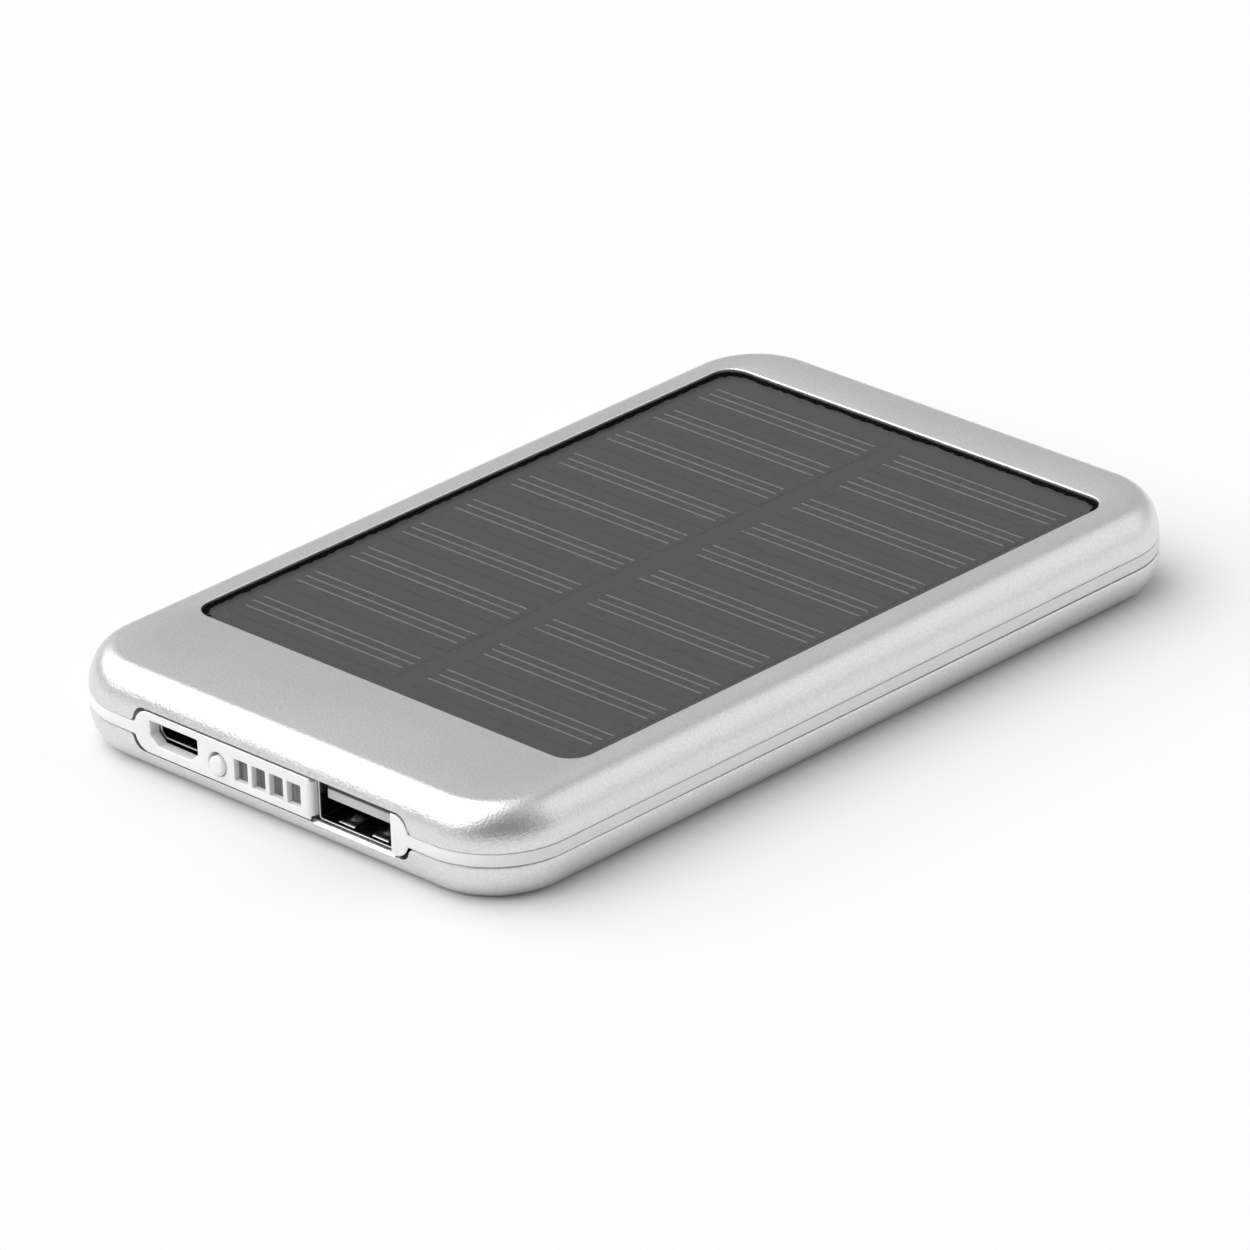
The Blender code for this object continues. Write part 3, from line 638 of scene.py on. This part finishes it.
def micro_mouth(grow, share):
    """The micro-B recess outline: flat top, two cut lower corners, narrowing with its share of the depth."""
    half = MICRO_MOUTH[0] - MICRO_TAPER[0] * share + grow
    low = MICRO_MOUTH[1] + MICRO_TAPER[1] * share - grow
    top = MICRO_MOUTH[2] - MICRO_TAPER[2] * share + grow
    cut_w, cut_h = MICRO_CUT[0] + grow * 0.3, MICRO_CUT[1]
    corners = [(half, top), (-half, top), (-half, low + cut_h), (-half + cut_w, low), (half - cut_w, low),
               (half, low + cut_h)]
    return soft_corners([(MICRO_X + x, z) for x, z in corners], 0.22 + grow, 4)


def soft_corners(corners, radius, steps):
    """Replace each corner of a convex, anticlockwise outline with a small arc."""
    points = []
    count = len(corners)
    for k, corner in enumerate(corners):
        here = Vector(corner)
        back = (Vector(corners[k - 1]) - here).normalized()
        ahead = (Vector(corners[(k + 1) % count]) - here).normalized()
        half_angle = back.angle(ahead) / 2
        reach = radius / sin(half_angle)
        centre = here + (back + ahead).normalized() * reach
        start = here + back * (radius / (sin(half_angle) / cos(half_angle)))
        first = start - centre
        sweep = pi - 2 * half_angle
        for j in range(steps + 1):
            spin = sweep * j / steps
            points.append((centre.x + first.x * cos(spin) - first.y * sin(spin),
                           centre.y + first.x * sin(spin) + first.y * cos(spin)))
    return points


def wall_rings(outline, edge, sign):
    """Rings of one wall of the plate: a rounded front edge, then straight back.

    outline(grow, share) gives the shape grown by an amount at a share of the depth;
    sign is +1 for a hole, whose edge opens out at the front, and -1 for the outside.
    """
    rings = []
    for turn in quarter_turns(4):
        depth = edge * (1 - cos(turn))
        rings.append(place(outline(sign * edge * (1 - sin(turn)), depth / PLATE_DEPTH), "y", FRONT + depth))
    if sign < 0:
        rings.append(place(outline(0.0, 0.0), "y", FRONT + edge + 0.03))
        rings.append(place(outline(-SHADOW_GAP, 0.0), "y", FRONT + edge + 0.08))
    kept = -SHADOW_GAP if sign < 0 else 0.0
    rings.append(place(outline(kept, 1.0), "y", FRONT + PLATE_DEPTH))
    return rings


def port_plate():
    """The flat plate with its holes, each edge rounded over."""
    middle = sum(PLATE_Z) / 2
    half_z = (PLATE_Z[1] - PLATE_Z[0]) / 2

    def outside(grow, share):
        return rounded(PLATE_HALF + grow, half_z + grow, PLATE_R + grow, (PORT_MIDDLE, middle), 12)

    def button_hole(grow, share):
        return circle(BUTTON_HOLE_R + grow, (BUTTON_X, BUTTON_Z))

    def led_slot(x):
        return lambda grow, share: rounded(LED_SLOT[0] / 2 + grow, LED_SLOT[1] / 2 + grow, 0.15 + grow,
                                           (x, LED_Z), 4)

    walls = [(outside, PLATE_EDGE, -1), (micro_mouth, 0.2, 1), (button_hole, 0.14, 1)]
    walls += [(led_slot(x), 0.1, 1) for x in led_middles()]
    bm = bmesh.new()
    fronts, backs = [], []
    for outline, edge, sign in walls:
        rows = skin(bm, wall_rings(outline, edge, sign), capped=False)
        fronts.append(rows[0])
        backs.append(rows[-1])
    for side in (fronts, backs):
        rims = []
        for row in side:
            rims += [bm.edges.get((vertex, row[(k + 1) % len(row)])) for k, vertex in enumerate(row)]
        bmesh.ops.triangle_fill(bm, use_beauty=True, use_dissolve=False, edges=rims)
    return object_from("plate_tool", bm, "frame_plastic")


def led_middles():
    """Middle of each light, from the CAD lights."""
    names = sorted(name for name in frame["nodes"] if name.startswith("charge_led_"))
    return [(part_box(name)[0].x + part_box(name)[1].x) / 2 / MM for name in names]


def frame_moulding():
    low, high = BAND_Z
    lip_out, lip_in = LIP_INSET
    section = broken_edge(low, 1) + broken_edge(high, -1)[::-1]
    section += [(lip_out, high), (lip_out, LIP_Z[1]), (lip_in, LIP_Z[1]), (lip_in, LIP_Z[0]),
                (lip_out, LIP_Z[0]), (lip_out, low)]
    band = loft("frame_moulding", [case_ring(inset, z) for inset, z in section], "frame_plastic", closed=True)
    overlap = 0.45
    inside = PLATE_HALF - overlap
    cut(band, block("gap_tool", (-inside, FRONT - 1, 1.0), (inside, FRONT + 5, 11.0)))
    join(band, port_plate())
    reach, floor, roof = MICRO_POCKET
    cut(band, block("pocket_tool", (MICRO_X - reach, FRONT + MICRO_SETBACK - 0.1, floor),
                    (MICRO_X + reach, FRONT + 4, roof)))
    left, right = USB_CUT_X
    plan = [(right + USB_EDGE, FRONT - 1)]
    plan += [(right + USB_EDGE * (1 - sin(turn)), FRONT + USB_EDGE * (1 - cos(turn)))
             for turn in quarter_turns(4)]
    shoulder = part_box("usb_a_shell")[1].x / MM + 0.15
    plan += [(right, FRONT + USB_SHOULDER), (shoulder, FRONT + USB_SHOULDER), (shoulder, FRONT + 4),
             (left, FRONT + 4)]
    plan += [(left - USB_FILLET * (1 - cos(turn)), FRONT + USB_FILLET * (1 - sin(turn)))
             for turn in quarter_turns(12)]
    plan.append((left - USB_FILLET, FRONT - 1))
    cut(band, prism("usb_tool", plan, "z", 1.0, 10.5))
    sharpen(band, 35)
    settle(band, "case", "frame_plastic", "mid_frame")


def button_dome():
    """The round cap with its flange and stem. It sits a little low and to the right in its hole."""
    centre = (BUTTON_X + BUTTON_OFF_MIDDLE, BUTTON_Z - BUTTON_OFF_MIDDLE)
    face = FRONT - BUTTON_PROUD
    edge = 0.42
    flange = FRONT + PLATE_DEPTH + BEHIND_PLATE
    profile = [(face, 0.25), (face + 0.006, 0.6)]
    profile += [(face + 0.02 + edge * (1 - cos(turn)), BUTTON_R - edge * (1 - sin(turn)))
                for turn in quarter_turns(8)]
    profile += [(flange, BUTTON_R), (flange, FLANGE_R), (flange + FLANGE_T, FLANGE_R),
                (flange + FLANGE_T, STEM_R), (FRONT + STEM_END, STEM_R)]
    rings = [place(circle(radius, centre), "y", level) for level, radius in profile]
    settle(loft("button_dome", rings, "frame_plastic"), "button", "frame_plastic", "button_cap")


def light_comb():
    """The light guide: a bar behind the plate with a tooth in each slot."""
    low, high = (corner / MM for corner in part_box("light_guide"))
    half = LED_SLOT[0] / 2 - 0.06
    bar = FRONT + PLATE_DEPTH + BEHIND_PLATE
    middles = led_middles()
    soft = 0.12
    outline = [(middles[-1] + half, high.y), (middles[0] - half, high.y)]
    for number, x in enumerate(middles):
        if number:
            outline.append((x - half, bar))
        outline += [(x - half, FRONT + LED_SETBACK + soft), (x - half + soft, FRONT + LED_SETBACK),
                    (x + half - soft, FRONT + LED_SETBACK), (x + half, FRONT + LED_SETBACK + soft)]
        if number < len(middles) - 1:
            outline.append((x + half, bar))
    comb = prism("light_comb", outline, "z", low.z, high.z, "lens_plastic")
    settle(comb, "case", "lens_plastic", "light_guide")


# ---------------------------------------------------------------- sockets

def usb_can():
    """The USB-A shell: rolled sheet with a slightly opened mouth and two sprung fingers in its floor."""
    low, high = (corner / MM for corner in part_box("usb_a_shell"))
    centre = ((low.x + high.x) / 2, (low.z + high.z) / 2)
    half = ((high.x - low.x) / 2, (high.z - low.z) / 2)
    wall = 0.3
    mouth = 0.04

    def ring(inset, y):
        return place(rounded(half[0] - inset, half[1] - inset, 0.45 - inset * 0.7, centre, 6), "y", y)

    rings = [ring(0.0, high.y), ring(0.0, low.y + 0.1), ring(mouth, low.y + 0.03), ring(0.09, low.y),
             ring(0.2, low.y), ring(wall - mouth, low.y + 0.05), ring(wall, low.y + 0.2),
             ring(wall, high.y - wall)]
    can = loft("usb_can", rings, "usb_steel")
    finger_middles = (centre[0] - SPRING_X, centre[0] + SPRING_X)
    for x in finger_middles:
        slot = rounded(*SPRING_SLOT, 0.25, (x, low.y + 3.0), 3)
        cut(can, prism("slot_tool", slot, "z", low.z - 1, low.z + wall + 0.4))
    sharpen(can, 40)
    settle(can, "case", "plated_steel", "usb_a_shell")
    for number, x in enumerate(finger_middles, 1):
        spring_finger(f"usb_spring_{number}", x, low.y, low.z + wall)


def spring_finger(name, x, mouth_y, floor):
    """A sprung tongue of the shell's own sheet, dimpled so that it grips a plug."""
    half = 1.25
    thick = 0.2
    across, along = 12, 28
    free, root = mouth_y + 0.6, mouth_y + 5.4
    dimple_height, dimple_at, dimple_area = 0.42, 0.36, 0.95

    def height(u, v):
        """Above the shell's floor, for u from -1 to 1 across and v from 0 at the free end to 1."""
        rise = 0.10 + 0.10 * sin(pi * min(v * 1.15, 1.0))
        off_middle = (u * half) ** 2 + ((v - dimple_at) * (root - free)) ** 2
        dimple = max(0.0, 1 - off_middle / dimple_area)
        return rise * (1 - v ** 4) + dimple_height * dimple ** 0.8

    bm = bmesh.new()
    grid = {}
    for layer in (0, 1):
        for i in range(across + 1):
            for j in range(along + 1):
                u, v = 2 * i / across - 1, j / along
                bevel = layer * (j == 0) * thick * 0.65
                z = floor - thick * 0.9 + height(u, v) + layer * thick - bevel
                grid[layer, i, j] = bm.verts.new(Vector((x + half * u, free + (root - free) * v, z)) * MM)
    for layer in (0, 1):
        for i in range(across):
            for j in range(along):
                bm.faces.new((grid[layer, i, j], grid[layer, i + 1, j], grid[layer, i + 1, j + 1],
                              grid[layer, i, j + 1]))
    rim = [(i, 0) for i in range(across)] + [(across, j) for j in range(along)]
    rim += [(i, along) for i in range(across, 0, -1)] + [(0, j) for j in range(along, 0, -1)]
    for k, here in enumerate(rim):
        after = rim[(k + 1) % len(rim)]
        bm.faces.new((grid[(0, *here)], grid[(0, *after)], grid[(1, *after)], grid[(1, *here)]))
    settle(object_from(name, bm, "spring_steel", 50), "case", "plated_steel")


def usb_tongue():
    """The pale tongue, its tip sloped on top, with a groove under each contact, and the body behind, a real
    moulding coloured black as painted shade deep in the socket.
    """
    low, high = (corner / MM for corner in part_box("usb_a_tongue"))
    bottom, top = TONGUE_Z
    ramp = 0.6
    root = high.y - 3.0
    soft = 0.12
    side = [(low.y, bottom + soft), (low.y + soft * 0.3, bottom + soft * 0.3), (low.y + soft, bottom),
            (root, bottom), (root, top), (low.y + ramp, top), (low.y + soft * 0.5, top - ramp + soft),
            (low.y, top - ramp)]
    end = [(y + soft * 0.6 * (y < root), z) for y, z in side]
    rings = [place(end, "x", low.x), place(side, "x", low.x + soft), place(side, "x", high.x - soft),
             place(end, "x", high.x)]
    tongue = loft("usb_tongue", rings, "connector_plastic")
    for number in range(1, 5):
        groove_low, groove_high = (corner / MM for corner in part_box(f"usb_a_contact_{number}"))
        cut(tongue, block("groove_tool", (groove_low.x - 0.1, groove_low.y - 0.15, bottom - 0.5),
                          (groove_high.x + 0.1, root, bottom + 0.32)))
    sharpen(tongue, 30)
    settle(tongue, "case", "connector_plastic", "usb_a_tongue")
    # The body behind the tongue is black as painted shade: it makes the deep socket look dark.
    insulator = block("usb_insulator", (low.x, root + 0.02, low.z), high, "black_plastic", 0.2)
    settle(insulator, "case", "black_plastic")


def micro_can():
    """The micro-B shell, with its rolled rim showing at the bottom of the recess."""
    low, high = (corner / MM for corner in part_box("micro_usb_shell"))
    half = (high.x - low.x) / 2
    wall = 0.25
    corner_cut = 0.95

    def ring(inset, y):
        corners = [(half - inset, high.z - inset), (-half + inset, high.z - inset),
                   (-half + inset, low.z + corner_cut), (-half + corner_cut - inset * 0.3, low.z + inset),
                   (half - corner_cut + inset * 0.3, low.z + inset), (half - inset, low.z + corner_cut)]
        return place(soft_corners([(MICRO_X + x, z) for x, z in corners], 0.32 - inset * 0.5, 4), "y", y)

    rings = [ring(0.0, high.y), ring(0.0, low.y + 0.08), ring(0.05, low.y), ring(0.2, low.y),
             ring(wall, low.y + 0.08), ring(wall, high.y - wall)]
    settle(loft("micro_can", rings, "micro_steel"), "case", "plated_steel", "micro_usb_shell")


# ---------------------------------------------------------------- panel

def panel_film():
    low, high = (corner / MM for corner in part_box("solar_film"))
    half_x, half_y = (high.x - low.x) / 2, (high.y - low.y) / 2
    soft = 0.05
    rings = [window_ring(half_x - soft, half_y - soft, PANEL_R - soft, low.z),
             window_ring(half_x, half_y, PANEL_R, low.z + soft),
             window_ring(half_x, half_y, PANEL_R, high.z - soft),
             window_ring(half_x - soft, half_y - soft, PANEL_R - soft, high.z)]
    settle(loft("panel_film", rings, "solar_film"), "case", "solar_film", "solar_film")


def window_seal():
    """The black bead that seals the film to the window's wall, its free edge slightly ragged."""
    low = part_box("solar_film")[1].z / MM + 0.02
    top = BODY_T - WINDOW_LIP + 0.02
    step = 0.6
    outside = rounded(WINDOW_W / 2 - SEAL_OFF_WALL, WINDOW_L / 2 - SEAL_OFF_WALL, WINDOW_R - SEAL_OFF_WALL,
                      (0.0, WINDOW_Y), CORNER_STEPS)
    fine = []
    for k, (x, y) in enumerate(outside):
        after_x, after_y = outside[(k + 1) % len(outside)]
        length = ((after_x - x) ** 2 + (after_y - y) ** 2) ** 0.5
        count = max(1, round(length / step))
        fine += [(x + (after_x - x) * j / count, y + (after_y - y) * j / count) for j in range(count)]

    def inward(point, reach):
        """A point on the window's outline moved in by a reach, toward the window's middle."""
        return (point[0] * (1 - reach / (WINDOW_W / 2)),
                WINDOW_Y + (point[1] - WINDOW_Y) * (1 - reach / (WINDOW_L / 2)))

    wander = Random(5)
    reaches = [SEAL_WIDTH + wander.uniform(-0.12, 0.3) for _ in fine]
    crown = [inward(point, reach * 0.55) for point, reach in zip(fine, reaches)]
    edge = [inward(point, reach) for point, reach in zip(fine, reaches)]
    rings = [place(fine, "z", low), place(fine, "z", top), place(crown, "z", top - 0.01),
             place(edge, "z", low)]
    settle(loft("window_seal", rings, "seal_rubber", closed=True, sharp=60), "case", "adhesive")


def cell_fingers():
    """Three printed silver lines on each cell strip, their ends a little uneven."""
    wander = Random(11)
    for node in sorted(name for name in frame["nodes"] if name.startswith("solar_cell_")):
        low, high = (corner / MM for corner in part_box(node))
        middle = (low.y + high.y) / 2
        half = FINGER_WIDTH / 2
        sunk, proud = high.z - 0.004, high.z + 0.01
        bm = bmesh.new()
        for k in (-1, 0, 1):
            y = middle + k * FINGER_PITCH
            section = [(y - half, sunk), (y - half * 0.6, proud), (y + half * 0.6, proud), (y + half, sunk)]
            start, end = (FINGER_TRIM + wander.uniform(-0.2, 0.35) for _ in range(2))
            skin(bm, [place(section, "x", low.x + start), place(section, "x", high.x - end)])
        fingers = object_from(node.replace("solar_cell", "cell_fingers"), bm, "cell_finger")
        settle(fingers, "case", "silver_shell")


# ---------------------------------------------------------------- stage

# The camera stands off the -Y, +X corner: degrees, then millimetres in its own picture plane.
AZIMUTH = 44.806
ELEVATION = 25.532
ROLL = -1.906
DISTANCE = 1109.1
AIM = (-0.916, 3.670)
LENS = 271.32


def add_camera():
    azimuth, elevation, roll = radians(AZIMUTH), radians(ELEVATION), radians(ROLL)
    back = Vector((sin(azimuth) * cos(elevation), -cos(azimuth) * cos(elevation), sin(elevation)))
    level = Vector((cos(azimuth), sin(azimuth), 0.0))
    upright = back.cross(level)
    right = level * cos(roll) + upright * sin(roll)
    up = upright * cos(roll) - level * sin(roll)
    data = bpy.data.cameras.new("camera")
    data.lens = LENS
    data.sensor_width = 36.0
    data.clip_start, data.clip_end = 0.05, 20.0
    camera = bpy.data.objects.new("camera", data)
    turn = Matrix((right, up, back)).transposed().to_4x4()
    where = (right * AIM[0] + up * AIM[1] + back * DISTANCE) * MM
    camera.matrix_world = Matrix.Translation(where) @ turn
    bpy.context.scene.collection.objects.link(camera)
    bpy.context.scene.camera = camera


def add_floor():
    bm = bmesh.new()
    bmesh.ops.create_grid(bm, x_segments=2, y_segments=2, size=3.0)
    floor = object_from("floor", bm, None)
    floor.location.z = -0.02 * MM
    n = Nodes("floor_paper", (0.78, 0.78, 0.78), 0.9)
    n.tint(n.noise(8.0, 2.0), (0.775, 0.775, 0.775), (0.785, 0.785, 0.785))
    floor.data.materials.append(n.material)


# The studio's large soft lights, in degrees: the turn from +X and the height that each lies at, how far
# from its middle its fade starts and ends, and the heights between which it rises from dark. The last
# number is its strength.
AMBIENT = 0.26
LIGHTS = ((221.0, 43.5, 20.0, 63.0, 2.0, 27.0, 2.3),
          (91.0, 26.0, 51.0, 104.0, -4.0, 0.0, 0.31),
          (52.5, 29.0, 17.5, 33.0, -4.0, 0.0, 0.46))


def add_lights():
    """A plain world of large soft lights, brightest from the front left."""
    world = bpy.data.worlds.new("studio")
    bpy.context.scene.world = world
    world.use_nodes = True
    tree = world.node_tree
    look = tree.nodes.new("ShaderNodeTexCoord").outputs["Generated"]
    split = tree.nodes.new("ShaderNodeSeparateXYZ")
    tree.links.new(look, split.inputs[0])

    def fade(value, start, end):
        node = tree.nodes.new("ShaderNodeMapRange")
        node.interpolation_type = "SMOOTHSTEP"
        node.inputs["From Min"].default_value = start
        node.inputs["From Max"].default_value = end
        tree.links.new(value, node.inputs["Value"])
        return node.outputs["Result"]

    def maths(operation, *values):
        node = tree.nodes.new("ShaderNodeMath")
        node.operation = operation
        for socket, value in zip(node.inputs, values):
            if isinstance(value, float):
                socket.default_value = value
            else:
                tree.links.new(value, socket)
        return node.outputs["Value"]

    total = AMBIENT
    for turn, height, inner, outer, dark, clear, strength in LIGHTS:
        toward = tree.nodes.new("ShaderNodeVectorMath")
        toward.operation = "DOT_PRODUCT"
        turn, height = radians(turn), radians(height)
        toward.inputs[1].default_value = (cos(turn) * cos(height), sin(turn) * cos(height), sin(height))
        tree.links.new(look, toward.inputs[0])
        near = fade(toward.outputs["Value"], cos(radians(outer)), cos(radians(inner)))
        above = fade(split.outputs["Z"], sin(radians(dark)), sin(radians(clear)))
        total = maths("MULTIPLY_ADD", maths("MULTIPLY", near, above), strength, total)
    tree.links.new(total, tree.nodes["Background"].inputs["Strength"])
    tree.nodes["Background"].inputs["Color"].default_value = (1.0, 1.0, 1.0, 1.0)


def finish_cad_nodes():
    slots = {part["node"]: part["material_slot"] for part in frame["record"]["subparts"]}
    for name, node in frame["nodes"].items():
        node.data.materials.clear()
        node.data.materials.append(material(slots[name]))


def build():
    bpy.context.scene.view_settings.view_transform = "Standard"
    add_camera()
    add_floor()
    add_lights()
    finish_cad_nodes()
    top_shell()
    bottom_shell()
    frame_moulding()
    button_dome()
    light_comb()
    usb_can()
    usb_tongue()
    micro_can()
    panel_film()
    window_seal()
    cell_fingers()


build()
